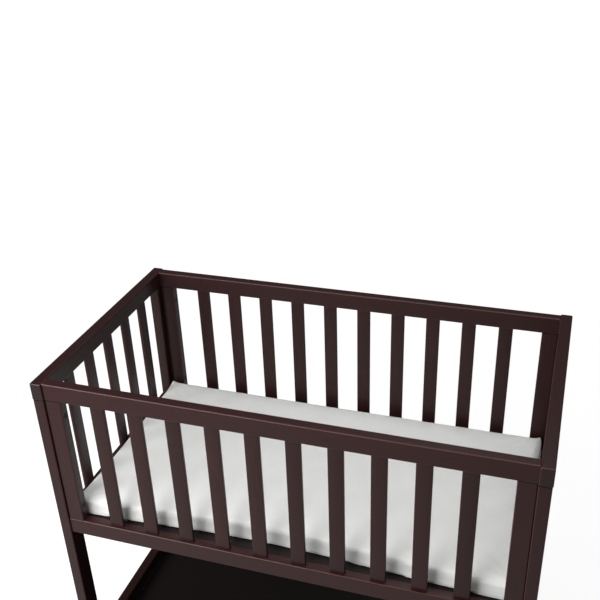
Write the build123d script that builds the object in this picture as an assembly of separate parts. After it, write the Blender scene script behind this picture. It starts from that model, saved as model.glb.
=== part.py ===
from build123d import *
import math
import os

# Whole bassinet, in millimetres. X runs along it, Y from front to back, Z up from the floor.
length = 930.0
depth = 510.0
height = 880.0

# Timber sections. The end top rails lie on the legs and stand a little proud of them outside.
end_rail_thick = 23.0
leg_thick = 22.0
leg_depth = 39.0
rail_height = 36.0
panel_thick = 20.0
panel_recess = 4.0
panel_height = 356.0
stile_width = 32.0
edge_round = 2.5

# Slats. Their ends are housed in pockets in the rails.
slat_width = 28.5
slat_thick = 8.0
slat_round = 2.0
slat_tenon = 10.0
side_pitch = 75.2
end_pitch = 75.8
least_end_gap = 45.0

# Mattress support and pad.
support_thick = 12.0
support_drop = 2.0
support_gap = 1.0
cleat_width = 18.0
pad_thick = 40.0
pad_crown = 5.0
pad_corner = 12.0
pad_end_draw = 3.0
pad_front_draw = 19.0
pad_front_draw_x = -80.0
pad_back_draw = 7.0
pad_top_round = 9.0
pad_bottom_round = 4.0
pad_side_gap = 1.5
rest_gap = 0.3

# Low shelf, a tray with a lip on all four sides.
shelf_rail_top = 191.0
shelf_rail_height = 62.0
shelf_lip = 35.0
shelf_thick = 12.0
shelf_gap = 2.0

# Casters.
caster_height = 62.0
wheel_radius = 25.0
wheel_width = 18.0
tyre_wall = 7.0
trail = 18.0
cheek_gap = 1.0
cheek_thick = 3.0
boss_radius = 8.0
crown_thick = 5.0
crown_length = 22.0
axle_radius = 3.0
stem_radius = 4.0
stem_length = 36.0
socket_wall = 1.6
flange_radius = 9.5
flange_thick = 2.0
swivel_gap = 0.5

# Brake pedals, on the two front casters.
pedal_pivot_x = 30.0
pedal_pivot_z = 52.0
pedal_hub_radius = 3.2
pedal_pin_radius = 2.0
pedal_width = 22.0
pedal_reach = 28.0
pedal_thick = 3.0
pedal_lift = 8.0
pedal_travel = 20.0
pedal_side_gap = 1.5

# Fasteners.
bolt_radius = 3.0
bolt_length = 45.0
bolt_inset = 35.0
bolt_head_radius = 6.0
bolt_head_height = 3.4
hex_key = 4.0
insert_radius = 5.0
insert_length = 13.0
shelf_bolt_length = 55.0
shelf_bolt_head_radius = 7.5
shelf_bolt_head_height = 2.5
barrel_radius = 5.0
barrel_length = 14.0
dowel_radius = 4.0
dowel_length = 36.0
panel_dowel_radius = 3.0
screw_radius = 2.0
screw_head_radius = 4.0
screw_head_height = 2.6
cleat_screw_length = 30.0
board_screw_length = 26.0
shelf_screw_length = 24.0
cleat_screw_count = 5

# Clearances. A fixed fit is the play of a glued or screwed joint, a running fit that of a bearing.
fixed_fit = 0.1
running_fit = 0.05

# Places worked out from the sizes above.
inner_x = length / 2 - end_rail_thick
leg_x = inner_x + leg_thick / 2
leg_y = depth / 2 - leg_depth / 2
leg_inner_y = depth / 2 - leg_depth
panel_y = depth / 2 - panel_recess - panel_thick / 2
inner_y = panel_y - panel_thick / 2
top_rail_z = height - rail_height
panel_bottom_z = height - panel_height
bottom_rail_top_z = panel_bottom_z + rail_height
support_top_z = bottom_rail_top_z - support_drop
support_bottom_z = support_top_z - support_thick
shelf_bottom_z = shelf_rail_top - shelf_rail_height
shelf_top_z = shelf_rail_top - shelf_lip
hub_radius = wheel_radius - tyre_wall
fork_inner_y = wheel_width / 2 + cheek_gap
fork_outer_y = fork_inner_y + cheek_thick
fork_top_z = caster_height - flange_thick - swivel_gap
crown_bottom_z = fork_top_z - crown_thick
socket_radius = stem_radius + running_fit + socket_wall

ends = {"left": -1, "right": 1}
sides = {"front": -1, "back": 1}
corners = {f"{s}_{e}": (ends[e], sides[s]) for s in sides for e in ends}


def block(low, high):
    """A box from its lowest corner to its highest."""
    size = [b - a for a, b in zip(low, high)]
    return Pos(*low) * Box(*size, align=(Align.MIN, Align.MIN, Align.MIN))


def timber(low, high, along=None):
    """A planed board with its long edges rounded, or all of its edges where no axis is given."""
    board = block(low, high)
    edges = board.edges() if along is None else board.edges().filter_by(along)
    return fillet(edges, edge_round)


def rod(start, direction, radius, size):
    """A round bar from a point, along a direction."""
    bar = Cylinder(radius, size, align=(Align.CENTER, Align.CENTER, Align.MIN))
    return Plane(origin=start, z_dir=direction) * bar


def cut(piece, tools):
    """The piece without the tools that reach it."""
    box = piece.bounding_box()
    near = [t for t in tools if meets(box, t.bounding_box())]
    return piece - near if near else piece


def meets(a, b):
    """Whether two boxes share some room."""
    low = [max(p, q) for p, q in zip(a.min, b.min)]
    high = [min(p, q) for p, q in zip(a.max, b.max)]
    return all(h > l for l, h in zip(low, high))


def spread(room, pitch):
    """Centres of as many slats as the room takes, in a row about its middle."""
    count = int((room - 2 * least_end_gap - slat_width) / pitch) + 1
    return [(i - (count - 1) / 2) * pitch for i in range(count)]


def even_row(room, count):
    """Places of a row of screws that share the room evenly."""
    return [room * ((i + 0.5) / count - 0.5) for i in range(count)]


# Slats and the pockets that their ends fill.
def slat(x, y, across, spare=0.0):
    """One slat between the lower and the upper rail, wide along X, or along Y on an end frame."""
    wide, thick = slat_width + 2 * spare, slat_thick + 2 * spare
    size = (wide, thick) if across == "x" else (thick, wide)
    low = bottom_rail_top_z - slat_tenon - spare
    high = top_rail_z + slat_tenon + spare
    bar = Pos(x, y, (low + high) / 2) * Box(*size, high - low)
    return fillet(bar.edges().filter_by(Axis.Z), slat_round)


side_room = 2 * (inner_x - stile_width)
end_room = 2 * leg_inner_y
slat_places = {}
for name, side in sides.items():
    slat_places[f"{name}_slats"] = [(x, side * panel_y, "x") for x in spread(side_room, side_pitch)]
for name, end in ends.items():
    slat_places[f"{name}_slats"] = [(end * leg_x, y, "y") for y in spread(end_room, end_pitch)]
slats = {name: [slat(*place) for place in places] for name, places in slat_places.items()}
pockets = [slat(*place, fixed_fit) for places in slat_places.values() for place in places]


# Dowels, glued half in one piece and half in the other.
def dowel_row(middle, along, across, gap, radius, spare=0.0):
    """Two dowels side by side, centred on a joint and lying along a direction."""
    half = dowel_length / 2 + spare
    rods = []
    for s in (-1, 1):
        start = Vector(*middle) + Vector(*across) * (s * gap / 2) - Vector(*along) * half
        rods.append(rod(start, along, radius + spare, 2 * half))
    return rods


leg_dowel_gap = leg_depth / 2
rail_dowel_gap = rail_height / 2
shelf_dowel_gap = shelf_rail_height / 2
stile_dowel_gap = stile_width / 2
end_joints = []
panel_joints = []
for end, side in corners.values():
    face_y = side * leg_inner_y
    low_rail_z = panel_bottom_z + rail_height / 2
    shelf_rail_z = shelf_bottom_z + shelf_rail_height / 2
    stile_x = end * (inner_x - stile_width / 2)
    up, inward, over = (0, 0, 1), (0, 1, 0), (1, 0, 0)
    end_joints.append(((end * leg_x, side * leg_y, top_rail_z), up, inward, leg_dowel_gap))
    end_joints.append(((end * leg_x, face_y, low_rail_z), inward, up, rail_dowel_gap))
    end_joints.append(((end * leg_x, face_y, shelf_rail_z), inward, up, shelf_dowel_gap))
    panel_joints.append(((stile_x, side * panel_y, top_rail_z), up, over, stile_dowel_gap))
    panel_joints.append(((stile_x, side * panel_y, bottom_rail_top_z), up, over, stile_dowel_gap))
end_dowels = [d for j in end_joints for d in dowel_row(*j, dowel_radius)]
panel_dowels = [d for j in panel_joints for d in dowel_row(*j, panel_dowel_radius)]
dowel_holes = [d for j in end_joints for d in dowel_row(*j, dowel_radius, fixed_fit)]
dowel_holes += [d for j in panel_joints for d in dowel_row(*j, panel_dowel_radius, fixed_fit)]


# Bolts that hold the front and back panels, screwed through the stiles into the legs.
def panel_bolt(end, side, z):
    """A button-head bolt with a hexagon socket, its head sunk in the stile's inner edge."""
    seat = (end * bolt_seat_x, side * panel_y, z)
    inwards = (-end, 0, 0)
    shank = rod(seat, (end, 0, 0), bolt_radius, bolt_length)
    head = rod(seat, inwards, bolt_head_radius, bolt_head_height)
    far = head.faces().sort_by(Axis((0, 0, 0), inwards))[-1]
    head = fillet(far.edges(), bolt_head_height / 2)
    key = extrude(RegularPolygon(hex_key / math.sqrt(3), 6), bolt_head_height)
    socket = Plane(origin=seat, z_dir=inwards) * Pos(0, 0, bolt_head_height * 0.35) * key
    return shank + head - socket


def panel_bolt_hole(end, side, z):
    """A bore for a bolt's shank, with a counterbore that takes its head."""
    seat = (end * bolt_seat_x, side * panel_y, z)
    bore = rod(seat, (end, 0, 0), bolt_radius + fixed_fit, bolt_length + fixed_fit)
    counterbore = rod(seat, (-end, 0, 0), bolt_head_radius + fixed_fit, bolt_head_height)
    return bore + counterbore


def insert(end, side, z, spare=0.0):
    """A threaded insert in a leg's inner face. Its thread is a plain bore here."""
    mouth = (end * inner_x, side * panel_y, z)
    return rod(mouth, (end, 0, 0), insert_radius + spare, insert_length + spare)


bolt_seat_x = inner_x - stile_width + bolt_head_height
bolt_levels = (top_rail_z - bolt_inset, bottom_rail_top_z + bolt_inset)
bolt_places = [(end, side, z) for end, side in corners.values() for z in bolt_levels]
panel_bolts = [panel_bolt(*place) for place in bolt_places]
bolt_holes = [panel_bolt_hole(*place) for place in bolt_places]
inserts = [cut(insert(*place), bolt_holes) for place in bolt_places]
insert_holes = [insert(*place, fixed_fit) for place in bolt_places]


# Bolts that hold the shelf rails, from the legs' outer faces into barrel nuts.
def shelf_bolt(end, side, spare=0.0):
    """A flat-head bolt, sunk in the leg's outer face."""
    outer = end * (inner_x + leg_thick)
    seat = (outer - end * (shelf_bolt_head_height + spare), side * panel_y, shelf_bolt_z)
    shank = rod(seat, (-end, 0, 0), bolt_radius + spare, shelf_bolt_length + spare)
    head = rod(seat, (end, 0, 0), shelf_bolt_head_radius + spare, shelf_bolt_head_height + spare)
    if spare:
        return shank + head
    key = extrude(RegularPolygon(hex_key / math.sqrt(3), 6), shelf_bolt_head_height)
    start = (seat[0] + end * shelf_bolt_head_height * 0.3, seat[1], seat[2])
    return shank + head - Plane(origin=start, z_dir=(end, 0, 0)) * key


def barrel_nut(end, side, spare=0.0):
    """A round cross nut near a shelf rail's end, put in from the rail's inner face."""
    seat_x = inner_x + leg_thick - shelf_bolt_head_height
    x = end * (seat_x - shelf_bolt_length + barrel_radius)
    start = (x, side * inner_y, shelf_bolt_z)
    return rod(start, (0, side, 0), barrel_radius + spare, barrel_length + spare)


shelf_bolt_z = shelf_bottom_z + shelf_rail_height / 2
shelf_bolts = [shelf_bolt(*place) for place in corners.values()]
shelf_bolt_holes = [shelf_bolt(*place, fixed_fit) for place in corners.values()]
barrel_nuts = [cut(barrel_nut(*place), shelf_bolt_holes) for place in corners.values()]
barrel_holes = [barrel_nut(*place, fixed_fit) for place in corners.values()]


# Countersunk wood screws.
def screw(start, direction, size, spare=0.0):
    """A countersunk screw whose head is flush at the start. With some spare it is its own hole."""
    head = Cone(
        screw_head_radius + spare,
        screw_radius + spare,
        screw_head_height,
        align=(Align.CENTER, Align.CENTER, Align.MIN),
    )
    shank = rod((0, 0, 0), (0, 0, 1), screw_radius + spare, size + spare)
    body = head + shank
    if not spare:
        slot = (screw_head_radius * 1.1, screw_head_radius * 0.22, screw_head_height)
        cross = Box(*slot) + Box(slot[1], slot[0], slot[2])
        body -= cross
    return Plane(origin=start, z_dir=direction) * body


def cleat_screws(z, size, spare=0.0):
    """Screws through both long cleats into the rails behind them."""
    row = even_row(2 * inner_x, cleat_screw_count)
    places = [(x, side * (inner_y - cleat_width), z, side) for x in row for side in sides.values()]
    return [screw((x, y, z), (0, side, 0), size, spare) for x, y, z, side in places]


def board_screws(z, size, spare=0.0):
    """Screws down through a board into both long cleats, between the cleats' own screws."""
    row = even_row(2 * inner_x, cleat_screw_count - 1)
    y = inner_y - cleat_width / 2
    return [screw((x, side * y, z), (0, 0, -1), size, spare) for x in row for side in sides.values()]


support_cleat_z = (panel_bottom_z + support_bottom_z) / 2
shelf_cleat_top_z = shelf_top_z - shelf_thick
shelf_cleat_z = (shelf_bottom_z + shelf_cleat_top_z) / 2


def all_screws(spare=0.0):
    """Every screw of the mattress support, then every screw of the shelf."""
    support = cleat_screws(support_cleat_z, cleat_screw_length, spare)
    support += board_screws(support_top_z, board_screw_length, spare)
    shelf = cleat_screws(shelf_cleat_z, cleat_screw_length, spare)
    shelf += board_screws(shelf_top_z, shelf_screw_length, spare)
    return support, shelf


support_screws, shelf_screws = all_screws()
screw_holes = sum(all_screws(fixed_fit), [])


# Caster sockets, pressed up into the legs' ends.
def socket(end, side, spare=0.0):
    """A flanged sleeve with a groove inside that the stem's ring snaps into."""
    base = (end * leg_x, side * leg_y, caster_height)
    flange = (base[0], base[1], caster_height - flange_thick)
    sleeve_length = stem_length + socket_wall
    sleeve = rod(base, (0, 0, 1), socket_radius + spare, sleeve_length + spare)
    if spare:
        return sleeve
    body = sleeve + rod(flange, (0, 0, 1), flange_radius, flange_thick)
    bore = rod(flange, (0, 0, 1), stem_radius + running_fit, stem_length + flange_thick)
    ring = (base[0], base[1], ring_z - ring_height)
    groove = rod(ring, (0, 0, 1), ring_radius + running_fit, 3 * ring_height)
    return body - bore - groove


ring_radius = stem_radius + 0.6
ring_height = 1.5
ring_z = caster_height + stem_length * 0.7
sockets = [socket(*place) for place in corners.values()]
socket_holes = [socket(*place, fixed_fit) for place in corners.values()]

holes = pockets + dowel_holes + bolt_holes + insert_holes
holes += shelf_bolt_holes + barrel_holes + screw_holes + socket_holes


# Timber frame.
def end_frame(name, end):
    """Top rail, mattress-level rail and shelf rail of one end."""
    outer = sorted((end * length / 2, end * inner_x))
    face = sorted((end * inner_x, end * (inner_x + leg_thick)))
    top = timber((outer[0], -depth / 2, top_rail_z), (outer[1], depth / 2, height))
    low = timber(
        (face[0], -leg_inner_y, panel_bottom_z), (face[1], leg_inner_y, bottom_rail_top_z), Axis.Y
    )
    shelf = timber(
        (face[0], -leg_inner_y, shelf_bottom_z), (face[1], leg_inner_y, shelf_rail_top), Axis.Y
    )
    return {f"{name}_top_rail": top, f"{name}_lower_rail": low, f"{name}_shelf_rail": shelf}


def leg(end, side):
    """A straight leg from the caster to the end's top rail."""
    x = sorted((end * inner_x, end * (inner_x + leg_thick)))
    y = sorted((side * leg_inner_y, side * depth / 2))
    return timber((x[0], y[0], caster_height), (x[1], y[1], top_rail_z), Axis.Z)


def long_rail(side, low, high):
    """A rail between the two end frames, set back from their front and back faces."""
    y = sorted((side * inner_y, side * (inner_y + panel_thick)))
    return timber((-inner_x, y[0], low), (inner_x, y[1], high), Axis.X)


def stile(end, side):
    """The upright at one end of a slatted side panel, bolted to a leg."""
    x = sorted((end * (inner_x - stile_width), end * inner_x))
    y = sorted((side * inner_y, side * (inner_y + panel_thick)))
    return timber((x[0], y[0], bottom_rail_top_z), (x[1], y[1], top_rail_z), Axis.Z)


timbers = {}
for name, end in ends.items():
    timbers.update(end_frame(name, end))
for name, place in corners.items():
    timbers[f"{name}_leg"] = leg(*place)
    timbers[f"{name}_stile"] = stile(*place)
for name, side in sides.items():
    timbers[f"{name}_top_rail"] = long_rail(side, top_rail_z, height)
    timbers[f"{name}_bottom_rail"] = long_rail(side, panel_bottom_z, bottom_rail_top_z)
    timbers[f"shelf_{name}_rail"] = long_rail(side, shelf_bottom_z, shelf_rail_top)


# Boards and the cleats that carry them.
def board(top, thick, gap):
    """A flat board that fills the room between the rails, less a gap all round."""
    x, y = inner_x - gap, inner_y - gap
    return block((-x, -y, top - thick), (x, y, top))


def cleats(low, high):
    """The two long cleats, one on the front rail and one on the back rail."""
    pieces = []
    for side in sides.values():
        y = sorted((side * (inner_y - cleat_width), side * inner_y))
        pieces.append(block((-inner_x, y[0], low), (inner_x, y[1], high)))
    return pieces


timbers["mattress_support"] = board(support_top_z, support_thick, support_gap)
timbers["shelf_panel"] = board(shelf_top_z, shelf_thick, shelf_gap)


# Mattress pad.
def pad():
    """A foam pad with a crowned top and sides drawn in between its corners."""
    x, y = inner_x - pad_side_gap, inner_y - pad_side_gap
    front = [(-x, -y), (pad_front_draw_x, -y + pad_front_draw), (x, -y)]
    lines = [
        Spline(*front, tangents=[(1, 0), (1, 0)]),
        ThreePointArc((x, -y), (x - pad_end_draw, 0), (x, y)),
        ThreePointArc((x, y), (0, y - pad_back_draw), (-x, y)),
        ThreePointArc((-x, y), (-x + pad_end_draw, 0), (-x, -y)),
    ]
    outline = make_face(Curve() + lines)
    outline = fillet(outline.vertices(), pad_corner)
    body = extrude(outline, pad_thick)
    dome_radius = (x * x + y * y + pad_crown * pad_crown) / (2 * pad_crown)
    dome = Pos(0, 0, pad_thick - dome_radius) * Rot(90, 0, 0) * Sphere(dome_radius)
    body &= dome
    top = body.faces().sort_by(Axis.Z)[-1]
    body = fillet(top.edges(), pad_top_round)
    bottom = body.faces().sort_by(Axis.Z)[0]
    body = fillet(bottom.edges(), pad_bottom_round)
    return Pos(0, 0, support_top_z + rest_gap) * body


# Casters. Each is made about its own stem, trailing to +X, and then turned to its place.
def stem():
    """The steel stem, riveted through the fork's crown, with a snap ring near its top."""
    top = caster_height + stem_length - swivel_gap
    bar = rod((0, 0, crown_bottom_z), (0, 0, 1), stem_radius, top - crown_bottom_z)
    bar = chamfer(bar.edges().sort_by(Axis.Z)[-1], 1.0)
    rivet_height = 1.5
    rivet = rod((0, 0, crown_bottom_z - rivet_height), (0, 0, 1), stem_radius * 1.4, rivet_height)
    return bar + rivet + rod((0, 0, ring_z), (0, 0, 1), ring_radius, ring_height)


def fork(braked):
    """Two cheeks joined by a crown over the wheel. A braked one also holds the pedal's pins."""
    crown_low, crown_high = crown_bottom_z, fork_top_z
    half = crown_length / 2
    ring = [Pos(trail, wheel_radius) * Circle(boss_radius)]
    ring.append(Pos(0, (crown_low + crown_high) / 2) * Rectangle(crown_length, crown_high - crown_low))
    if braked:
        ring.append(Pos(pedal_pivot_x, pedal_pivot_z) * Circle(pedal_pin_radius * 2))
    outline = make_hull(sum(ring[1:], ring[0]).edges())
    cheek = Rot(90, 0, 0) * extrude(outline, cheek_thick)
    body = block((-half, -fork_outer_y, crown_low), (half, fork_outer_y, crown_high))
    body += Pos(0, -fork_inner_y, 0) * cheek
    body += Pos(0, fork_outer_y, 0) * cheek
    body -= rod((0, 0, crown_low), (0, 0, 1), stem_radius, crown_thick)
    body -= rod((trail, -fork_outer_y, wheel_radius), (0, 1, 0), axle_radius, 2 * fork_outer_y)
    if braked:
        pin = (pedal_pivot_x, -fork_outer_y, pedal_pivot_z)
        body -= rod(pin, (0, 1, 0), pedal_pin_radius + running_fit, 2 * fork_outer_y)
    return body


def axle():
    """A rivet through both cheeks and the wheel."""
    head = 1.5
    start = (trail, -fork_outer_y, wheel_radius)
    bar = rod(start, (0, 1, 0), axle_radius, 2 * fork_outer_y)
    bar += rod((trail, -fork_outer_y - head, wheel_radius), (0, 1, 0), axle_radius * 1.5, head)
    return bar + rod((trail, fork_outer_y, wheel_radius), (0, 1, 0), axle_radius * 1.5, head)


def hub():
    """The moulded centre of the wheel, dished on both faces."""
    start = (trail, -wheel_width / 2, wheel_radius)
    body = rod(start, (0, 1, 0), hub_radius, wheel_width)
    dish_depth = wheel_width / 5
    for y in (-wheel_width / 2, wheel_width / 2 - dish_depth):
        face = (trail, y, wheel_radius)
        dish = rod(face, (0, 1, 0), hub_radius * 0.82, dish_depth)
        body -= dish - rod(face, (0, 1, 0), hub_radius * 0.4, dish_depth)
    return body - rod(start, (0, 1, 0), axle_radius + running_fit, wheel_width)


def tyre():
    """The tread, moulded round the hub."""
    start = (trail, -wheel_width / 2, wheel_radius)
    body = rod(start, (0, 1, 0), wheel_radius, wheel_width)
    body = fillet(body.edges().filter_by(GeomType.CIRCLE), tyre_wall * 0.4)
    return body - rod(start, (0, 1, 0), hub_radius, wheel_width)


def pedal():
    """A moulded brake pedal with its pins, tread plate and the lobe that presses on the tyre."""
    inner_half = fork_inner_y - pedal_side_gap
    to_wheel = math.atan2(wheel_radius - pedal_pivot_z, trail - pedal_pivot_x)
    away = math.hypot(wheel_radius - pedal_pivot_z, trail - pedal_pivot_x)
    lobe_reach = away - wheel_radius - rest_gap
    lobe_radius = pedal_hub_radius * 0.5
    angle = to_wheel + math.radians(pedal_travel)
    lobe_away = lobe_reach - lobe_radius
    centre = (lobe_away * math.cos(angle), lobe_away * math.sin(angle))
    outline = Circle(pedal_hub_radius) + Pos(*centre) * Circle(lobe_radius)
    outline = make_hull(outline.edges())
    hub_half = rod((0, -inner_half, 0), (0, 1, 0), pedal_pin_radius, 2 * inner_half)
    body = Pos(0, inner_half, 0) * Rot(90, 0, 0) * extrude(outline, 2 * inner_half) + hub_half
    neck = block((0, -inner_half, -pedal_thick / 2), (pedal_reach * 0.5, inner_half, pedal_thick / 2))
    plate_low = (pedal_reach * 0.35, -pedal_width / 2, -pedal_thick / 2)
    plate = block(plate_low, (pedal_reach, pedal_width / 2, pedal_thick / 2))
    plate = fillet(plate.edges().filter_by(Axis.Z), pedal_thick)
    ribs = []
    for i in range(4):
        x = pedal_reach * (0.5 + 0.12 * i)
        ribs.append(rod((x, -pedal_width * 0.36, pedal_thick / 2), (0, 1, 0), 0.7, pedal_width * 0.72))
    arm = Rot(0, -pedal_lift, 0) * (neck + plate + ribs)
    body += arm
    pin = rod((0, -fork_outer_y, 0), (0, 1, 0), pedal_pin_radius, 2 * fork_outer_y)
    return Pos(pedal_pivot_x, 0, pedal_pivot_z) * (body + pin)


def caster(name, end, side):
    """The pieces of one caster, turned so that it trails in towards the bassinet's middle."""
    braked = side == sides["front"]
    pieces = {"stem": stem(), "fork": fork(braked), "axle": axle(), "hub": hub(), "tyre": tyre()}
    turn = Pos(end * leg_x, side * leg_y, 0) * Rot(0, 0, 0 if end < 0 else 180)
    placed = {f"{name}_caster_{part}": turn * piece for part, piece in pieces.items()}
    if braked:
        placed[f"{name}_brake_pedal"] = turn * pedal()
    return placed


nodes = {name: cut(piece, holes) for name, piece in timbers.items()}
nodes.update(slats)
nodes["support_cleats"] = [cut(c, holes) for c in cleats(panel_bottom_z, support_bottom_z)]
nodes["shelf_cleats"] = [cut(c, holes) for c in cleats(shelf_bottom_z, shelf_cleat_top_z)]
nodes["mattress_pad"] = pad()
nodes["end_frame_dowels"] = end_dowels
nodes["panel_dowels"] = panel_dowels
nodes["panel_bolts"] = panel_bolts
nodes["threaded_inserts"] = inserts
nodes["shelf_bolts"] = shelf_bolts
nodes["barrel_nuts"] = barrel_nuts
nodes["support_screws"] = support_screws
nodes["shelf_screws"] = shelf_screws
nodes["caster_sockets"] = sockets
for name, (end, side) in corners.items():
    nodes.update(caster(name, end, side))

os.makedirs("parts", exist_ok=True)
for name, piece in nodes.items():
    shape = Compound(piece) if isinstance(piece, list) else piece
    export_step(shape, f"parts/{name}.step")
print(len(nodes), "nodes")
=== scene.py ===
import math

import bmesh
import bpy
from mathutils import Matrix, Vector, noise


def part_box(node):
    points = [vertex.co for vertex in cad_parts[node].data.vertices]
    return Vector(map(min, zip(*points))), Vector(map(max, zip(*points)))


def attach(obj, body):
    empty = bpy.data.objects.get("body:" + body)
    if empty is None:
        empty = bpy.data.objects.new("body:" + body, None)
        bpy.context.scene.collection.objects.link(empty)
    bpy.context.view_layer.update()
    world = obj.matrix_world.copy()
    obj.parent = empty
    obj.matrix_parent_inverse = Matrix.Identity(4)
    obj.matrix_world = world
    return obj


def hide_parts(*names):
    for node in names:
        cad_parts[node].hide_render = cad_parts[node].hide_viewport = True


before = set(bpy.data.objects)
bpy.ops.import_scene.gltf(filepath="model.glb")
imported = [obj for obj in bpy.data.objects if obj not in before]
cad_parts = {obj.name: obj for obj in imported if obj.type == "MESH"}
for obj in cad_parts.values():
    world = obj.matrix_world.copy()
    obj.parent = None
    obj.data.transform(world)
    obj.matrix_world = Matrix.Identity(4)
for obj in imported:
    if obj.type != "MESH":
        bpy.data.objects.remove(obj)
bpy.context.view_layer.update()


# The camera. It stands before the right half of the bassinet, above its rails, and looks down into
# it. The lens is raised a little, which keeps the posts as upright as the photograph has them.
lens_mm = 51.83
lens_rise = 0.05
camera_place = (0.4438, -1.3524, 1.7219)
camera_turn_deg = (60.589, 1.929, 18.062)

camera = bpy.data.objects.new("camera", bpy.data.cameras.new("camera"))
camera.data.lens = lens_mm
camera.data.sensor_width = 36.0
camera.data.shift_y = lens_rise
camera.location = camera_place
camera.rotation_euler = [math.radians(angle) for angle in camera_turn_deg]
bpy.context.scene.collection.objects.link(camera)
bpy.context.scene.camera = camera


# Rails, legs and stiles. They are planed pine, rounded along the edges, wiped with a dark espresso
# stain and sprayed with a satin lacquer. End grain drinks more stain. The rounded edges are painted
# lighter, partly where the stain wears thin and partly as a painted highlight.
mm = 0.001

# A wave texture at a scale of 1 has one band in each 0.314 units.
wave_band = 0.314


def linear(code):
    """A colour written as sRGB hex, as the linear RGBA that a shader takes."""
    parts = [int(code[i : i + 2], 16) / 255 for i in (1, 3, 5)]
    curve = [p / 12.92 if p <= 0.04045 else ((p + 0.055) / 1.055) ** 2.4 for p in parts]
    return (*curve, 1.0)


def add(tree, kind, settings=None, inputs=None):
    """One node, with its settings, and its inputs as values or as other nodes' sockets."""
    node = tree.nodes.new(kind)
    for name, value in (settings or {}).items():
        setattr(node, name, value)
    for name, value in (inputs or {}).items():
        if isinstance(value, bpy.types.NodeSocket):
            tree.links.new(value, node.inputs[name])
        else:
            node.inputs[name].default_value = value
    return node


def new_material(name):
    """A material with an empty node tree."""
    material = bpy.data.materials.new(name)
    material.use_nodes = True
    material.node_tree.nodes.clear()
    return material, material.node_tree


def finish_surface(tree, settings):
    """The shader at the end of a material's tree."""
    shader = add(tree, "ShaderNodeBsdfPrincipled", {}, settings)
    add(tree, "ShaderNodeOutputMaterial", {}, {"Surface": shader.outputs["BSDF"]})


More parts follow.
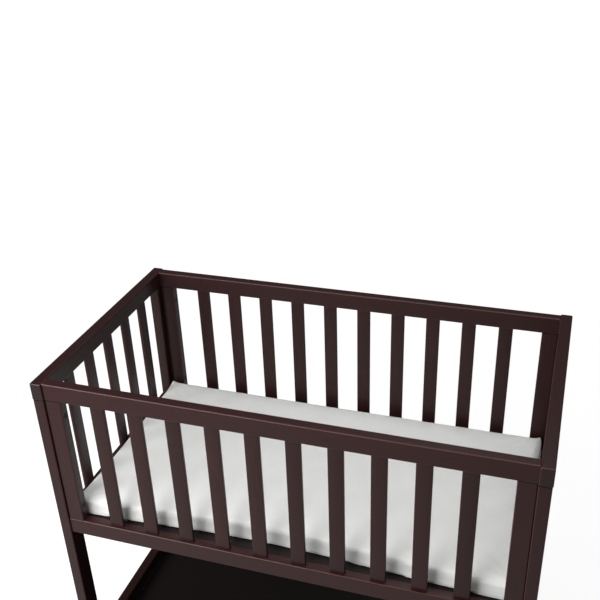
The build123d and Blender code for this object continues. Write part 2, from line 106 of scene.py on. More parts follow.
def lacquered_pine(grain):
    """Pine with its grain along one axis. The stain shows faint growth rings and fibres under a
    satin film that softly mirrors bright things."""
    ring_width = 3.2 * mm
    fibre_width = 1.8 * mm
    heart_reach = 130 * mm
    grain_lean_deg = 1.2
    length_squeeze = 0.05
    ring_share = 0.4
    thin_stain_and_highlight_share = 0.7
    edge_starts, edge_full = 0.97, 0.75
    end_face = 0.9
    darkest, palest = 0.85, 1.15
    film_smooth, film_rough = 0.3, 0.4
    stain, deep_stain, ring_stain = "#351a19", "#251211", "#200e0e"
    # The lighter edge colour is partly stain worn thin and partly a painted highlight on the rounded
    # edges.
    thin_stain_and_highlight, end_stain = "#502b28", "#281a1a"
    material, tree = new_material(f"espresso_lacquered_pine_{grain.lower()}")
    place = add(tree, "ShaderNodeTexCoord")
    piece = add(tree, "ShaderNodeObjectInfo")
    slat = add(tree, "ShaderNodeAttribute", {"attribute_name": "tone"})
    seed = add(
        tree, "ShaderNodeMath", {"operation": "ADD"}, {0: piece.outputs["Random"], 1: slat.outputs["Fac"]}
    )
    chance = add(tree, "ShaderNodeTexWhiteNoise", {"noise_dimensions": "1D"}, {"W": seed.outputs[0]})
    tilted = add(
        tree,
        "ShaderNodeMapping",
        {},
        {"Vector": place.outputs["Object"], "Rotation": [math.radians(grain_lean_deg)] * 3},
    )
    board = add(
        tree,
        "ShaderNodeVectorMath",
        {"operation": "MULTIPLY_ADD"},
        {0: chance.outputs["Color"], 1: [heart_reach] * 3, 2: tilted.outputs["Vector"]},
    )
    drawn_out = [length_squeeze if axis == grain else 1.0 for axis in "XYZ"]
    drawn = add(
        tree, "ShaderNodeVectorMath", {"operation": "MULTIPLY"}, {0: board.outputs[0], 1: drawn_out}
    )
    fibres = add(
        tree,
        "ShaderNodeTexNoise",
        {},
        {"Vector": drawn.outputs[0], "Scale": 1 / fibre_width, "Detail": 4.0, "Roughness": 0.65},
    )
    rings = add(
        tree,
        "ShaderNodeTexWave",
        {"wave_type": "RINGS", "rings_direction": grain, "wave_profile": "SAW"},
        {
            "Vector": drawn.outputs[0],
            "Scale": wave_band / ring_width,
            "Distortion": 3.0,
            "Detail": 2.0,
            "Detail Scale": 0.3,
        },
    )
    normal = add(
        tree, "ShaderNodeVectorMath", {"operation": "ABSOLUTE"}, {0: place.outputs["Normal"]}
    )
    sides = add(tree, "ShaderNodeSeparateXYZ", {}, {0: normal.outputs[0]})
    flat_xy = add(
        tree, "ShaderNodeMath", {"operation": "MAXIMUM"}, {0: sides.outputs["X"], 1: sides.outputs["Y"]}
    )
    flat = add(
        tree, "ShaderNodeMath", {"operation": "MAXIMUM"}, {0: flat_xy.outputs[0], 1: sides.outputs["Z"]}
    )
    edge = add(
        tree,
        "ShaderNodeMapRange",
        {},
        {
            "Value": flat.outputs[0],
            "From Min": edge_starts,
            "From Max": edge_full,
            "To Min": 0.0,
            "To Max": thin_stain_and_highlight_share,
        },
    )
    end = add(
        tree, "ShaderNodeMath", {"operation": "GREATER_THAN"}, {0: sides.outputs[grain], 1: end_face}
    )
    ground = add(
        tree,
        "ShaderNodeMix",
        {"data_type": "RGBA"},
        {0: fibres.outputs["Fac"], 6: linear(deep_stain), 7: linear(stain)},
    )
    late_wood = add(
        tree, "ShaderNodeMath", {"operation": "MULTIPLY"}, {0: rings.outputs["Fac"], 1: ring_share}
    )
    ringed = add(
        tree,
        "ShaderNodeMix",
        {"data_type": "RGBA"},
        {0: late_wood.outputs[0], 6: ground.outputs[2], 7: linear(ring_stain)},
    )
    # Rounded edges take the lighter colour: partly worn-thin stain, partly a painted highlight.
    edged = add(
        tree,
        "ShaderNodeMix",
        {"data_type": "RGBA"},
        {0: edge.outputs[0], 6: ringed.outputs[2], 7: linear(thin_stain_and_highlight)},
    )
    ended = add(
        tree,
        "ShaderNodeMix",
        {"data_type": "RGBA"},
        {0: end.outputs[0], 6: edged.outputs[2], 7: linear(end_stain)},
    )
    shade = add(
        tree,
        "ShaderNodeMapRange",
        {},
        {"Value": chance.outputs["Value"], "To Min": darkest, "To Max": palest},
    )
    toned = add(
        tree, "ShaderNodeHueSaturation", {}, {"Color": ended.outputs[2], "Value": shade.outputs[0]}
    )
    film = add(
        tree,
        "ShaderNodeMapRange",
        {},
        {"Value": fibres.outputs["Fac"], "To Min": film_smooth, "To Max": film_rough},
    )
    bump = add(
        tree,
        "ShaderNodeBump",
        {},
        {"Height": fibres.outputs["Fac"], "Strength": 0.3, "Distance": 0.12 * mm},
    )
    finish_surface(
        tree,
        {
            "Base Color": toned.outputs[0],
            "Roughness": film.outputs[0],
            "Specular IOR Level": 0.3,
            "Normal": bump.outputs[0],
        },
    )
    return material


pine = {grain: lacquered_pine(grain) for grain in "XYZ"}


def dress(node, material):
    """Gives a CAD piece its finish."""
    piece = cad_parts[node]
    piece.data.materials.clear()
    piece.data.materials.append(material)


corners = [f"{side}_{end}" for side in ("front", "back") for end in ("left", "right")]
for side in ("front", "back"):
    dress(f"{side}_top_rail", pine["X"])
    dress(f"{side}_bottom_rail", pine["X"])
    dress(f"shelf_{side}_rail", pine["X"])
for end in ("left", "right"):
    dress(f"{end}_top_rail", pine["Y"])
    dress(f"{end}_lower_rail", pine["Y"])
    dress(f"{end}_shelf_rail", pine["Y"])
for corner in corners:
    dress(f"{corner}_leg", pine["Z"])
    dress(f"{corner}_stile", pine["Z"])


# Slats. Each is a strip of the same pine with rounded corners, housed in the rails above and below.
# They are stained one by one before assembly, so no two have quite the same tone.
slat_width = 28.5 * mm
slat_thick = 8.0 * mm
slat_round = 2.0 * mm
slat_counts = {"front_slats": 10, "back_slats": 10, "left_slats": 5, "right_slats": 5}


def slat_row_tree():
    """A row of slats along X, centred, each with a tone of its own."""
    tree = bpy.data.node_groups.new("slat row", "GeometryNodeTree")
    sockets = tree.interface
    sockets.new_socket("Slats", in_out="OUTPUT", socket_type="NodeSocketGeometry")
    for name in ("Width", "Thickness", "Corner radius", "Bottom", "Top", "Pitch"):
        sockets.new_socket(name, in_out="INPUT", socket_type="NodeSocketFloat")
    for name in ("Count", "Seed"):
        sockets.new_socket(name, in_out="INPUT", socket_type="NodeSocketInt")
    sockets.new_socket("Finish", in_out="INPUT", socket_type="NodeSocketMaterial")
    given = add(tree, "NodeGroupInput").outputs
    gaps = add(tree, "ShaderNodeMath", {"operation": "SUBTRACT"}, {0: given["Count"], 1: 1.0})
    half = add(tree, "ShaderNodeMath", {"operation": "MULTIPLY"}, {0: gaps.outputs[0], 1: -0.5})
    first = add(
        tree, "ShaderNodeMath", {"operation": "MULTIPLY"}, {0: half.outputs[0], 1: given["Pitch"]}
    )
    start = add(tree, "ShaderNodeCombineXYZ", {}, {"X": first.outputs[0]})
    step = add(tree, "ShaderNodeCombineXYZ", {}, {"X": given["Pitch"]})
    row = add(
        tree,
        "GeometryNodeMeshLine",
        {"mode": "OFFSET"},
        {"Count": given["Count"], "Start Location": start.outputs[0], "Offset": step.outputs[0]},
    )
    outline = add(
        tree,
        "GeometryNodeCurvePrimitiveQuadrilateral",
        {},
        {"Width": given["Width"], "Height": given["Thickness"]},
    )
    rounded = add(
        tree,
        "GeometryNodeFilletCurve",
        {"mode": "POLY"},
        {"Curve": outline.outputs[0], "Count": 4, "Radius": given["Corner radius"]},
    )
    low = add(tree, "ShaderNodeCombineXYZ", {}, {"Z": given["Bottom"]})
    high = add(tree, "ShaderNodeCombineXYZ", {}, {"Z": given["Top"]})
    path = add(
        tree,
        "GeometryNodeCurvePrimitiveLine",
        {},
        {"Start": low.outputs[0], "End": high.outputs[0]},
    )
    slat = add(
        tree,
        "GeometryNodeCurveToMesh",
        {},
        {"Curve": path.outputs[0], "Profile Curve": rounded.outputs[0], "Fill Caps": True},
    )
    slats = add(
        tree,
        "GeometryNodeInstanceOnPoints",
        {},
        {"Points": row.outputs[0], "Instance": slat.outputs[0]},
    )
    tone = add(tree, "FunctionNodeRandomValue", {"data_type": "FLOAT"}, {"Seed": given["Seed"]})
    toned = add(
        tree,
        "GeometryNodeStoreNamedAttribute",
        {"data_type": "FLOAT", "domain": "INSTANCE"},
        {"Geometry": slats.outputs[0], "Name": "tone", "Value": tone.outputs[1]},
    )
    real = add(tree, "GeometryNodeRealizeInstances", {}, {"Geometry": toned.outputs[0]})
    finished = add(
        tree,
        "GeometryNodeSetMaterial",
        {},
        {"Geometry": real.outputs[0], "Material": given["Finish"]},
    )
    add(tree, "NodeGroupOutput", {}, {"Slats": finished.outputs[0]})
    return tree


def grow(name, tree, sizes, material, start=None):
    """A plain mesh object that holds what a tree makes from its named sizes and a starting mesh."""
    source = bpy.data.objects.new(name, start or bpy.data.meshes.new(name))
    bpy.context.scene.collection.objects.link(source)
    modifier = source.modifiers.new("grow", "NODES")
    modifier.node_group = tree
    for socket in tree.interface.items_tree:
        if socket.in_out == "INPUT" and socket.name in sizes:
            modifier[socket.identifier] = sizes[socket.name]
    bpy.context.view_layer.update()
    graph = bpy.context.evaluated_depsgraph_get()
    mesh = bpy.data.meshes.new_from_object(source.evaluated_get(graph))
    source.modifiers.clear()
    source.data = mesh
    mesh.materials.clear()
    mesh.materials.append(material)
    return source


def shade_round(piece, angle_deg=40.0):
    """Smooth shading that keeps the piece's sharp corners."""
    piece.data.shade_smooth()
    piece.data.set_sharp_from_angle(angle=math.radians(angle_deg))


slat_tree = slat_row_tree()
for number, (name, count) in enumerate(slat_counts.items()):
    low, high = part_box(name)
    size, middle = high - low, (low + high) / 2
    along_x = size.x > size.y
    sizes = {
        "Width": slat_width,
        "Thickness": slat_thick,
        "Corner radius": slat_round,
        "Bottom": low.z,
        "Top": high.z,
        "Pitch": (max(size.x, size.y) - slat_width) / (count - 1),
        "Count": count,
        "Seed": number,
        "Finish": pine["Z"],
    }
    row = grow(f"{name}_row", slat_tree, sizes, pine["Z"])
    turn = Matrix.Rotation(0 if along_x else math.radians(90), 4, "Z")
    row.data.transform(Matrix.Translation((middle.x, middle.y, 0)) @ turn)
    shade_round(row)
    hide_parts(name)
    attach(row, "frame")


# Mattress support and shelf. Both are boards of dense fibreboard, faced with a dark wood-grain
# foil, which is flatter and duller than the lacquered rails. The foil is painted darker than the
# rails' stain, as painted shade for the gap under the pad and the space under the shelf. Cleats of
# pine carry them.
def foil_faced_board():
    """Fibreboard under a printed espresso foil, dull, with a faint grain along the board."""
    grain_width = 2.5 * mm
    along_board = (0.03, 1.0, 1.0)
    material, tree = new_material("espresso_foil_fibreboard_with_painted_shade")
    place = add(tree, "ShaderNodeTexCoord")
    drawn = add(
        tree,
        "ShaderNodeVectorMath",
        {"operation": "MULTIPLY"},
        {0: place.outputs["Object"], 1: along_board},
    )
    print_grain = add(
        tree,
        "ShaderNodeTexNoise",
        {},
        {"Vector": drawn.outputs[0], "Scale": 1 / grain_width, "Detail": 5.0, "Roughness": 0.7},
    )
    # These foil colours are darker than the rails' stain: partly the foil's own dark print, partly painted
    # shade for the gap under the pad and under the shelf.
    colour = add(
        tree,
        "ShaderNodeMix",
        {"data_type": "RGBA"},
        {0: print_grain.outputs["Fac"], 6: linear("#120e0d"), 7: linear("#1f1817")},
    )
    bump = add(
        tree,
        "ShaderNodeBump",
        {},
        {"Height": print_grain.outputs["Fac"], "Strength": 0.25, "Distance": 0.1 * mm},
    )
    finish_surface(
        tree,
        {
            "Base Color": colour.outputs[2],
            "Roughness": 0.5,
            "Specular IOR Level": 0.2,
            "Normal": bump.outputs[0],
        },
    )
    return material


board_foil_with_painted_shade = foil_faced_board()
dress("mattress_support", board_foil_with_painted_shade)
dress("shelf_panel", board_foil_with_painted_shade)
dress("support_cleats", pine["X"])
dress("shelf_cleats", pine["X"])


# Fasteners. Dowels are fluted beech, the panel and shelf bolts are black-oxide steel with hexagon
# sockets, and the wood screws, inserts and barrel nuts are zinc-plated steel.
def plated_steel(name, light, dark, roughness):
    """Steel with a thin plated or blackened skin. It clouds a little, as barrel plating does."""
    cloud_width = 4.0 * mm
    haze = 0.08
    material, tree = new_material(name)
    place = add(tree, "ShaderNodeTexCoord")
    cloud = add(
        tree,
        "ShaderNodeTexNoise",
        {},
        {"Vector": place.outputs["Object"], "Scale": 1 / cloud_width, "Detail": 3.0},
    )
    colour = add(
        tree,
        "ShaderNodeMix",
        {"data_type": "RGBA"},
        {0: cloud.outputs["Fac"], 6: linear(dark), 7: linear(light)},
    )
    hazed = add(
        tree,
        "ShaderNodeMapRange",
        {},
        {"Value": cloud.outputs["Fac"], "To Min": roughness - haze, "To Max": roughness + haze},
    )
    finish_surface(
        tree, {"Base Color": colour.outputs[2], "Metallic": 1.0, "Roughness": hazed.outputs[0]}
    )
    return material


def beech():
    """Unfinished beech with its short dark flecks, pale because glue joints stay bare."""
    fleck_width = 0.6 * mm
    material, tree = new_material("bare_beech")
    place = add(tree, "ShaderNodeTexCoord")
    flecks = add(
        tree,
        "ShaderNodeTexNoise",
        {},
        {"Vector": place.outputs["Object"], "Scale": 1 / fleck_width, "Detail": 2.0},
    )
    colour = add(
        tree,
        "ShaderNodeMix",
        {"data_type": "RGBA"},
        {0: flecks.outputs["Fac"], 6: linear("#b08a5f"), 7: linear("#d6b88f")},
    )
    finish_surface(tree, {"Base Color": colour.outputs[2], "Roughness": 0.65})
    return material


zinc = plated_steel("zinc_plated_steel", "#c3c6c9", "#9da1a6", 0.34)
black_oxide = plated_steel("black_oxide_steel", "#3a3a3c", "#232325", 0.38)
bare_beech = beech()
for name in ("end_frame_dowels", "panel_dowels"):
    dress(name, bare_beech)
for name in ("panel_bolts", "shelf_bolts"):
    dress(name, black_oxide)
for name in ("threaded_inserts", "barrel_nuts", "support_screws", "shelf_screws"):
    dress(name, zinc)


# Mattress pad. It is a slab of foam in a white polyester cover, sewn from two panels. The cover is
# a little slack, so it puckers beside the corners, where its spare cloth stands up in small ears.
pad_low, pad_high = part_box("mattress_pad")
pad_middle = (pad_low + pad_high) / 2


def cover_cloth():
    """White brushed polyester, matt, with a fine plain weave that only shows close by. Light
    spreads a little way through it and the foam, which softens the shadows of the slats."""
    thread = 1.1 * mm
    light_reach = 14.0 * mm
    mottle_scale = 22.0
    material, tree = new_material("white_polyester_cover")
    place = add(tree, "ShaderNodeTexCoord")
    warp = add(
        tree,
        "ShaderNodeTexWave",
        {"bands_direction": "X", "wave_profile": "SIN"},
        {
            "Vector": place.outputs["Object"],
            "Scale": wave_band / thread,
            "Distortion": 0.4,
            "Detail": 1.0,
        },
    )
    weft = add(
        tree,
        "ShaderNodeTexWave",
        {"bands_direction": "Y", "wave_profile": "SIN"},
        {
            "Vector": place.outputs["Object"],
            "Scale": wave_band / thread,
            "Distortion": 0.4,
            "Detail": 1.0,
        },
    )
    weave = add(
        tree, "ShaderNodeMath", {"operation": "MULTIPLY"}, {0: warp.outputs["Fac"], 1: weft.outputs["Fac"]}
    )
    mottle = add(
        tree,
        "ShaderNodeTexNoise",
        {},
        {"Vector": place.outputs["Object"], "Scale": mottle_scale, "Detail": 3.0},
    )
    colour = add(
        tree,
        "ShaderNodeMix",
        {"data_type": "RGBA"},
        {0: mottle.outputs["Fac"], 6: linear("#e2e3e1"), 7: linear("#ececea")},
    )
    bump = add(
        tree,
        "ShaderNodeBump",
        {},
        {"Height": weave.outputs[0], "Strength": 0.25, "Distance": 0.15 * mm},
    )
    finish_surface(
        tree,
        {
            "Base Color": colour.outputs[2],
            "Roughness": 0.85,
            "Specular IOR Level": 0.25,
            "Subsurface Weight": 0.4,
            "Subsurface Radius": (1.0, 1.0, 1.0),
            "Subsurface Scale": light_reach,
            "Sheen Weight": 0.15,
            "Sheen Roughness": 0.5,
            "Normal": bump.outputs[0],
        },
    )
    return material


def pad_blank():
    """The foam slab's own form, closed and evenly meshed, a little smaller than the finished pad."""
    voxel = 6.0 * mm
    shrink = 0.8 * mm
    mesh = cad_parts["mattress_pad"].data.copy()
    mesh.materials.clear()
    form = bmesh.new()
    form.from_mesh(mesh)
    bmesh.ops.remove_doubles(form, verts=form.verts, dist=0.01 * mm)
    form.to_mesh(mesh)
    form.free()
    pad = bpy.data.objects.new("pad_cover", mesh)
    bpy.context.scene.collection.objects.link(pad)
    remesh = pad.modifiers.new("even", "REMESH")
    remesh.mode = "VOXEL"
    remesh.voxel_size = voxel
    bpy.context.view_layer.update()
    graph = bpy.context.evaluated_depsgraph_get()
    even = bpy.data.meshes.new_from_object(pad.evaluated_get(graph))
    pad.modifiers.clear()
    pad.data = even
    normals = [v.normal.copy() for v in even.vertices]
    for vertex, normal in zip(even.vertices, normals):
        vertex.co -= normal * shrink
    return pad


def swell(pad):
    """Lets the cover settle as cloth round the foam, held to a few millimetres of its form."""
    last_frame = 20
    most_move = 3.5 * mm
    before = [v.co.copy() for v in pad.data.vertices]
    cloth = pad.modifiers.new("cloth", "CLOTH")
    cloth.settings.quality = 5
    cloth.settings.mass = 0.15
    cloth.settings.use_pressure = True
    cloth.settings.uniform_pressure_force = 4.0
    cloth.settings.shrink_min = -0.02
    cloth.settings.effector_weights.gravity = 0.0
    scene = bpy.context.scene
    for step in range(1, last_frame + 1):
        scene.frame_set(step)
    graph = bpy.context.evaluated_depsgraph_get()
    settled = bpy.data.meshes.new_from_object(pad.evaluated_get(graph))
    pad.modifiers.clear()
    pad.data = settled
    for vertex, start in zip(settled.vertices, before):
        move = vertex.co - start
        if move.length > most_move:
            vertex.co = start + move * (most_move / move.length)


def slacken(pad):
    """Lets the slack top lie in low swells, which die out towards its edges."""
    swell_width = 95.0 * mm
    swell_height = 1.8 * mm
    edge_fade = 40.0 * mm
    facing_up = 0.5
    half_x, half_y = pad_high.x, pad_high.y
    for vertex in pad.data.vertices:
        if vertex.normal.z < facing_up:
            continue
        inside = min(half_x - abs(vertex.co.x), half_y - abs(vertex.co.y))
        fade = min(max(inside / edge_fade, 0.0), 1.0)
        vertex.co.z += swell_height * fade * noise.noise(vertex.co / swell_width)


def rest_on_board(pad):
    """Presses the base flat on its board. Its weight squares the bottom edge and pushes it out
    towards the rails, as far as there is room."""
    pressed = 11.0 * mm
    spread = 7.0 * mm
    facing_out = 0.25
    for vertex in pad.data.vertices:
        rise = vertex.co.z - pad_low.z
        if rise > pressed:
            continue
        share = 1 - max(rise, 0.0) / pressed
        sideways = Vector((vertex.normal.x, vertex.normal.y, 0))
        room = min(pad_high.x - abs(vertex.co.x), pad_high.y - abs(vertex.co.y))
        if sideways.length > facing_out:
            vertex.co += sideways.normalized() * min(spread, max(room, 0.0)) * share
        vertex.co.z = pad_low.z + max(rise, 0.0) * (1 - share)


def gather_corners(pad):
    """Stands the spare cloth up in an ear over each corner seam, with puckers running in from it."""
    ear_height = 10.0 * mm
    ear_thick = 4.5 * mm
    ear_length = 9.0 * mm
    ear_inset = 8.0 * mm
    pucker_depth = 1.3 * mm
    pucker_reach = 22.0 * mm
    pucker_waves = 22.0
    for vertex in pad.data.vertices:
        if vertex.co.z < pad_middle.z:
            continue
        corner_x = math.copysign(pad_high.x, vertex.co.x)
        corner_y = pad_high.y if vertex.co.y > pad_middle.y else pad_low.y
        away = Vector((vertex.co.x - corner_x, vertex.co.y - corner_y))
        outward = Vector((math.copysign(1, corner_x), math.copysign(1, corner_y))).normalized()
        along = away.dot(outward) + ear_inset
        across = away.cross(outward)
        ear = math.exp(-((across / ear_thick) ** 2) - (along / ear_length) ** 2)
        reach = away.length / pucker_reach
        turn = math.atan2(abs(away.x), abs(away.y))
        pucker = math.cos(pucker_waves * turn) * reach * math.exp(1 - reach)
        level = max(vertex.normal.z, 0.0)
        vertex.co.z += ear_height * ear + pucker_depth * pucker * level


def seam_lines(pad):
    """Edges that run along the cover's base seam and up its four corner seams."""
    seam_rise = 7.0 * mm
    corner_reach = 22.0 * mm
    graph = bpy.context.evaluated_depsgraph_get()
    skin = bmesh.new()
    skin.from_mesh(pad.evaluated_get(graph).to_mesh())
    pad.evaluated_get(graph).to_mesh_clear()
    base_z = pad_low.z + seam_rise
    cuts = [(Vector((0, 0, base_z)), Vector((0, 0, 1)), None)]
    for corner_x in (pad_low.x, pad_high.x):
        for corner_y in (pad_low.y, pad_high.y):
            corner = Vector((corner_x, corner_y, pad_middle.z))
            side = Vector((math.copysign(1, corner_y), -math.copysign(1, corner_x), 0))
            cuts.append((corner, side, corner))
    lines = bmesh.new()
    for place, normal, corner in cuts:
        sliced = skin.copy()
        everything = sliced.verts[:] + sliced.edges[:] + sliced.faces[:]
        cut = bmesh.ops.bisect_plane(sliced, geom=everything, plane_co=place, plane_no=normal)
        for edge in [e for e in cut["geom_cut"] if isinstance(e, bmesh.types.BMEdge)]:
            ends = [v.co for v in edge.verts]
            if corner:
                near = all((e.xy - corner.xy).length < corner_reach for e in ends)
                if not near or min(e.z for e in ends) < base_z:
                    continue
            lines.edges.new([lines.verts.new(e) for e in ends])
        sliced.free()
    bmesh.ops.remove_doubles(lines, verts=lines.verts, dist=0.01 * mm)
    mesh = bpy.data.meshes.new("pad_seam_lines")
    lines.to_mesh(mesh)
    lines.free()
    skin.free()
    return mesh


def seam_tree():
    """A corded seam along given edges, with a row of short stitches on its crown."""
    tree = bpy.data.node_groups.new("stitched seam", "GeometryNodeTree")
    sockets = tree.interface
    sockets.new_socket("Seam", in_out="OUTPUT", socket_type="NodeSocketGeometry")
    sockets.new_socket("Lines", in_out="INPUT", socket_type="NodeSocketGeometry")
    for name in ("Cord radius", "Stitch pitch", "Stitch length", "Thread radius"):
        sockets.new_socket(name, in_out="INPUT", socket_type="NodeSocketFloat")
    sockets.new_socket("Cloth", in_out="INPUT", socket_type="NodeSocketMaterial")
    given = add(tree, "NodeGroupInput").outputs
    path = add(tree, "GeometryNodeMeshToCurve", {}, {0: given["Lines"]})
    even = add(
        tree,
        "GeometryNodeResampleCurve",
        {"mode": "LENGTH"},
        {"Curve": path.outputs[0], "Length": given["Stitch pitch"]},
    )
    round_cord = add(
        tree, "GeometryNodeCurvePrimitiveCircle", {}, {"Resolution": 8, "Radius": given["Cord radius"]}
    )
    cord = add(
        tree,
        "GeometryNodeCurveToMesh",
        {},
        {"Curve": even.outputs[0], "Profile Curve": round_cord.outputs[0]},
    )
    thread = add(
        tree,
        "GeometryNodeMeshCylinder",
        {},
        {"Vertices": 6, "Radius": given["Thread radius"], "Depth": given["Stitch length"]},
    )
    tangent = add(tree, "GeometryNodeInputTangent")
    turn = add(
        tree, "FunctionNodeAlignRotationToVector", {"axis": "Z"}, {"Vector": tangent.outputs[0]}
    )
    stitches = add(
        tree,
        "GeometryNodeInstanceOnPoints",
        {},
        {"Points": even.outputs[0], "Instance": thread.outputs[0], "Rotation": turn.outputs[0]},
    )
    both = add(tree, "GeometryNodeJoinGeometry")
    tree.links.new(cord.outputs[0], both.inputs[0])
    tree.links.new(stitches.outputs[0], both.inputs[0])
    real = add(tree, "GeometryNodeRealizeInstances", {}, {"Geometry": both.outputs[0]})
    finished = add(
        tree,
        "GeometryNodeSetMaterial",
        {},
        {"Geometry": real.outputs[0], "Material": given["Cloth"]},
    )
    add(tree, "NodeGroupOutput", {}, {"Seam": finished.outputs[0]})
    return tree


pad = pad_blank()
swell(pad)
slacken(pad)
rest_on_board(pad)
gather_corners(pad)
shade_round(pad, 180.0)
cloth = cover_cloth()
pad.data.materials.clear()
pad.data.materials.append(cloth)
smooth = pad.modifiers.new("smooth", "SUBSURF")
smooth.levels = smooth.render_levels = 1
bpy.context.view_layer.update()
seam_sizes = {
    "Cord radius": 0.7 * mm,
    "Stitch pitch": 5.0 * mm,
    "Stitch length": 3.6 * mm,
    "Thread radius": 0.8 * mm,
    "Cloth": cloth,
}
seam = grow("pad_seams", seam_tree(), seam_sizes, cloth, seam_lines(pad))
shade_round(seam)
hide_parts("mattress_pad")
for piece in (pad, seam):
    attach(piece, "mattress_pad")


# Casters. Each has a zinc-plated stem and axle rivet, a fork moulded in black nylon, a nylon hub and
# a grey rubber tread. The two front ones have a moulded foot brake.
def moulded(name, light, dark, roughness):
    """A moulded plastic with the fine spark-eroded texture of its mould."""
    texture_width = 0.8 * mm
    material, tree = new_material(name)
    place = add(tree, "ShaderNodeTexCoord")
    grain = add(
        tree,
        "ShaderNodeTexNoise",
        {},
        {"Vector": place.outputs["Object"], "Scale": 1 / texture_width, "Detail": 2.0},
    )
    colour = add(
        tree,
        "ShaderNodeMix",
        {"data_type": "RGBA"},
        {0: grain.outputs["Fac"], 6: linear(dark), 7: linear(light)},
    )
    bump = add(
        tree,
        "ShaderNodeBump",
        {},
        {"Height": grain.outputs["Fac"], "Strength": 0.2, "Distance": 0.08 * mm},
    )
    finish_surface(
        tree,
        {
            "Base Color": colour.outputs[2],
            "Roughness": roughness,
            "Normal": bump.outputs[0],
        },
    )
    return material


nylon = moulded("black_moulded_nylon", "#232325", "#17181a", 0.42)
rubber = moulded("grey_rubber_tread", "#58595b", "#48494b", 0.7)
dress("caster_sockets", nylon)
for corner in corners:
    dress(f"{corner}_caster_stem", zinc)
    dress(f"{corner}_caster_axle", zinc)
    dress(f"{corner}_caster_fork", nylon)
    dress(f"{corner}_caster_hub", nylon)
for corner in ("front_left", "front_right"):
    dress(f"{corner}_brake_pedal", nylon)


def tread_tree():
    """A tyre about the Y axis: a core with raised bands round it, parted by narrow grooves."""
    tree = bpy.data.node_groups.new("banded tread", "GeometryNodeTree")
    sockets = tree.interface
    sockets.new_socket("Tread", in_out="OUTPUT", socket_type="NodeSocketGeometry")
    for name in ("Core path", "Core wall", "Band path", "Band height", "Width", "Band width", "Round"):
        sockets.new_socket(name, in_out="INPUT", socket_type="NodeSocketFloat")
    sockets.new_socket("Bands", in_out="INPUT", socket_type="NodeSocketInt")
    sockets.new_socket("Rubber", in_out="INPUT", socket_type="NodeSocketMaterial")
    given = add(tree, "NodeGroupInput").outputs
    rings = []
    for path_radius, height, width in (
        ("Core path", "Core wall", "Width"),
        ("Band path", "Band height", "Band width"),
    ):
        path = add(
            tree, "GeometryNodeCurvePrimitiveCircle", {}, {"Resolution": 64, "Radius": given[path_radius]}
        )
        outline = add(
            tree,
            "GeometryNodeCurvePrimitiveQuadrilateral",
            {},
            {"Width": given[height], "Height": given[width]},
        )
        rounded = add(
            tree,
            "GeometryNodeFilletCurve",
            {"mode": "POLY"},
            {"Curve": outline.outputs[0], "Count": 3, "Radius": given["Round"], "Limit Radius": True},
        )
        rings.append(
            add(
                tree,
                "GeometryNodeCurveToMesh",
                {},
                {"Curve": path.outputs[0], "Profile Curve": rounded.outputs[0]},
            )
        )
    spare = add(
        tree, "ShaderNodeMath", {"operation": "SUBTRACT"}, {0: given["Width"], 1: given["Band width"]}
    )
    gaps = add(tree, "ShaderNodeMath", {"operation": "SUBTRACT"}, {0: given["Bands"], 1: 1.0})
    pitch = add(tree, "ShaderNodeMath", {"operation": "DIVIDE"}, {0: spare.outputs[0], 1: gaps.outputs[0]})
    first = add(tree, "ShaderNodeMath", {"operation": "MULTIPLY"}, {0: spare.outputs[0], 1: -0.5})
    start = add(tree, "ShaderNodeCombineXYZ", {}, {"Z": first.outputs[0]})
    step = add(tree, "ShaderNodeCombineXYZ", {}, {"Z": pitch.outputs[0]})
    row = add(
        tree,
        "GeometryNodeMeshLine",
        {"mode": "OFFSET"},
        {"Count": given["Bands"], "Start Location": start.outputs[0], "Offset": step.outputs[0]},
    )
    bands = add(
        tree,
        "GeometryNodeInstanceOnPoints",
        {},
        {"Points": row.outputs[0], "Instance": rings[1].outputs[0]},
    )
    both = add(tree, "GeometryNodeJoinGeometry")
    tree.links.new(rings[0].outputs[0], both.inputs[0])
    tree.links.new(bands.outputs[0], both.inputs[0])
    real = add(tree, "GeometryNodeRealizeInstances", {}, {"Geometry": both.outputs[0]})
    turned = add(
        tree,
        "GeometryNodeTransform",
        {},
        {"Geometry": real.outputs[0], "Rotation": (math.radians(90), 0, 0)},
    )
    finished = add(
        tree,
        "GeometryNodeSetMaterial",
        {},
        {"Geometry": turned.outputs[0], "Material": given["Rubber"]},
    )
    add(tree, "NodeGroupOutput", {}, {"Tread": finished.outputs[0]})
    return tree


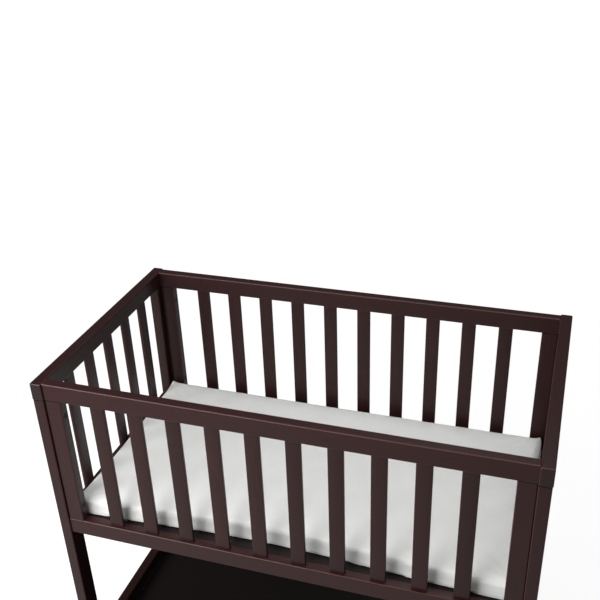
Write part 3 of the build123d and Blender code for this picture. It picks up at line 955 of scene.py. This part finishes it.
def hub_ribs_tree():
    """Ribs about the Y axis that stiffen the dish on both faces of a hub."""
    tree = bpy.data.node_groups.new("hub ribs", "GeometryNodeTree")
    sockets = tree.interface
    sockets.new_socket("Ribs", in_out="OUTPUT", socket_type="NodeSocketGeometry")
    for name in ("Middle radius", "Length", "Thickness", "Depth", "Face distance"):
        sockets.new_socket(name, in_out="INPUT", socket_type="NodeSocketFloat")
    sockets.new_socket("Count", in_out="INPUT", socket_type="NodeSocketInt")
    sockets.new_socket("Plastic", in_out="INPUT", socket_type="NodeSocketMaterial")
    given = add(tree, "NodeGroupInput").outputs
    size = add(
        tree,
        "ShaderNodeCombineXYZ",
        {},
        {"X": given["Length"], "Y": given["Thickness"], "Z": given["Depth"]},
    )
    rib = add(tree, "GeometryNodeMeshCube", {}, {"Size": size.outputs[0]})
    ring = add(
        tree, "GeometryNodeMeshCircle", {}, {"Vertices": given["Count"], "Radius": given["Middle radius"]}
    )
    place = add(tree, "GeometryNodeInputPosition")
    turn = add(
        tree, "FunctionNodeAlignRotationToVector", {"axis": "X"}, {"Vector": place.outputs[0]}
    )
    one_face = add(
        tree,
        "GeometryNodeInstanceOnPoints",
        {},
        {"Points": ring.outputs[0], "Instance": rib.outputs[0], "Rotation": turn.outputs[0]},
    )
    up = add(tree, "ShaderNodeCombineXYZ", {}, {"Z": given["Face distance"]})
    down = add(tree, "ShaderNodeVectorMath", {"operation": "SCALE"}, {0: up.outputs[0], "Scale": -1.0})
    both = add(tree, "GeometryNodeJoinGeometry")
    for shift in (up, down):
        face = add(
            tree,
            "GeometryNodeTransform",
            {},
            {"Geometry": one_face.outputs[0], "Translation": shift.outputs[0]},
        )
        tree.links.new(face.outputs[0], both.inputs[0])
    real = add(tree, "GeometryNodeRealizeInstances", {}, {"Geometry": both.outputs[0]})
    turned = add(
        tree,
        "GeometryNodeTransform",
        {},
        {"Geometry": real.outputs[0], "Rotation": (math.radians(90), 0, 0)},
    )
    finished = add(
        tree,
        "GeometryNodeSetMaterial",
        {},
        {"Geometry": turned.outputs[0], "Material": given["Plastic"]},
    )
    add(tree, "NodeGroupOutput", {}, {"Ribs": finished.outputs[0]})
    return tree


def place_wheel_piece(piece, middle, corner):
    """Sets a wheel's piece, made about the origin, into its wheel."""
    piece.data.transform(Matrix.Translation(middle))
    shade_round(piece)
    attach(piece, f"{corner}_wheel")


tyre_wall = 7.0 * mm
groove_depth = 0.9 * mm
groove_width = 1.2 * mm
band_count = 3
wheel_width = 18.0 * mm
hub_radius = 18.0 * mm
dish_inner, dish_outer = 0.4 * hub_radius, 0.82 * hub_radius
dish_depth = wheel_width / 5
rib_sink = 0.5 * mm
banded_tread, ribbed_dish = tread_tree(), hub_ribs_tree()
for corner in corners:
    low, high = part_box(f"{corner}_caster_tyre")
    middle = (low + high) / 2
    wheel_radius = (high.z - low.z) / 2
    core_wall = tyre_wall - groove_depth
    band_width = (wheel_width - (band_count - 1) * groove_width) / band_count
    tread_sizes = {
        "Core path": hub_radius + core_wall / 2,
        "Core wall": core_wall,
        "Band path": wheel_radius - groove_depth,
        "Band height": 2 * groove_depth,
        "Width": wheel_width,
        "Band width": band_width,
        "Round": 0.8 * mm,
        "Bands": band_count,
        "Rubber": rubber,
    }
    tread = grow(f"{corner}_tread", banded_tread, tread_sizes, rubber)
    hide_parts(f"{corner}_caster_tyre")
    place_wheel_piece(tread, middle, corner)
    rib_sizes = {
        "Middle radius": (dish_inner + dish_outer) / 2,
        "Length": dish_outer - dish_inner + 2 * rib_sink,
        "Thickness": 1.4 * mm,
        "Depth": dish_depth - rib_sink,
        "Face distance": wheel_width / 2 - dish_depth / 2 - rib_sink,
        "Count": 8,
        "Plastic": nylon,
    }
    ribs = grow(f"{corner}_hub_ribs", ribbed_dish, rib_sizes, nylon)
    place_wheel_piece(ribs, middle, corner)


# The room. A white floor, which keeps the bassinet's soft shadow, runs on into a white background.
# A broad lamp stands at the front left, a small one above the camera's left and a wide one overhead.
def floor_paint():
    """Matt white that looks white to the camera and in mirrors, and still takes a shadow."""
    near_glow, far_glow = 0.8, 0.97
    lit_from, lit_to = 1.1, 3.5
    mirror_glow = 0.2
    material, tree = new_material("white_floor_paint")
    seen = add(tree, "ShaderNodeLightPath").outputs
    place = add(tree, "ShaderNodeTexCoord")
    away = add(tree, "ShaderNodeVectorMath", {"operation": "LENGTH"}, {0: place.outputs["Object"]})
    wash = add(
        tree,
        "ShaderNodeMapRange",
        {},
        {
            "Value": away.outputs["Value"],
            "From Min": lit_from,
            "From Max": lit_to,
            "To Min": near_glow,
            "To Max": far_glow,
        },
    )
    mirrored = add(
        tree,
        "ShaderNodeMath",
        {"operation": "MAXIMUM"},
        {0: seen["Is Glossy Ray"], 1: seen["Is Transmission Ray"]},
    )
    strength = add(
        tree,
        "ShaderNodeMath",
        {"operation": "MULTIPLY"},
        {0: seen["Is Camera Ray"], 1: wash.outputs[0]},
    )
    dimmed = add(
        tree,
        "ShaderNodeMath",
        {"operation": "MULTIPLY_ADD"},
        {0: mirrored.outputs[0], 1: mirror_glow, 2: strength.outputs[0]},
    )
    glow = add(
        tree, "ShaderNodeEmission", {}, {"Color": linear("#ffffff"), "Strength": dimmed.outputs[0]}
    )
    paint = add(tree, "ShaderNodeBsdfDiffuse", {}, {"Color": linear("#a8a8a8")})
    lit = add(tree, "ShaderNodeAddShader", {}, {0: glow.outputs[0], 1: paint.outputs[0]})
    add(tree, "ShaderNodeOutputMaterial", {}, {"Surface": lit.outputs[0]})
    return material


floor_reach = 12.0
floor_mesh = bpy.data.meshes.new("floor")
floor_corners = [(x * floor_reach, y * floor_reach, 0) for x, y in ((-1, -1), (1, -1), (1, 1), (-1, 1))]
floor_mesh.from_pydata(floor_corners, [], [(0, 1, 2, 3)])
floor_mesh.materials.append(floor_paint())
floor = bpy.data.objects.new("floor", floor_mesh)
bpy.context.scene.collection.objects.link(floor)


def soft_lamp(name, place, target, size, power):
    """A square softbox that faces a point."""
    lamp = bpy.data.lights.new(name, "AREA")
    lamp.size = size
    lamp.energy = power
    holder = bpy.data.objects.new(name, lamp)
    holder.location = place
    towards = Vector(target) - Vector(place)
    holder.rotation_euler = towards.to_track_quat("-Z", "Y").to_euler()
    bpy.context.scene.collection.objects.link(holder)


soft_lamp("key_lamp", place=(-1.0, -1.3, 1.35), target=(-0.1, -0.2, 0.6), size=1.3, power=37.0)
soft_lamp("fill_lamp", place=(-0.4, -1.9, 2.2), target=(-0.1, -0.2, 0.6), size=0.6, power=9.0)
soft_lamp("top_lamp", place=(0.3, 0.3, 2.8), target=(0.1, 0.0, 0.6), size=2.0, power=30.0)

wall_glow = 1.0
room_glow = 0.115
world = bpy.data.worlds.new("studio")
world.use_nodes = True
world.node_tree.nodes.clear()
tree = world.node_tree
seen = add(tree, "ShaderNodeLightPath").outputs
white = linear("#ffffff")
white_wall = add(tree, "ShaderNodeBackground", {}, {"Color": white, "Strength": wall_glow})
dim_room = add(tree, "ShaderNodeBackground", {}, {"Color": white, "Strength": room_glow})
either = add(
    tree,
    "ShaderNodeMixShader",
    {},
    {0: seen["Is Camera Ray"], 1: dim_room.outputs[0], 2: white_wall.outputs[0]},
)
add(tree, "ShaderNodeOutputWorld", {}, {"Surface": either.outputs[0]})
bpy.context.scene.world = world
bpy.context.scene.view_settings.view_transform = "Standard"
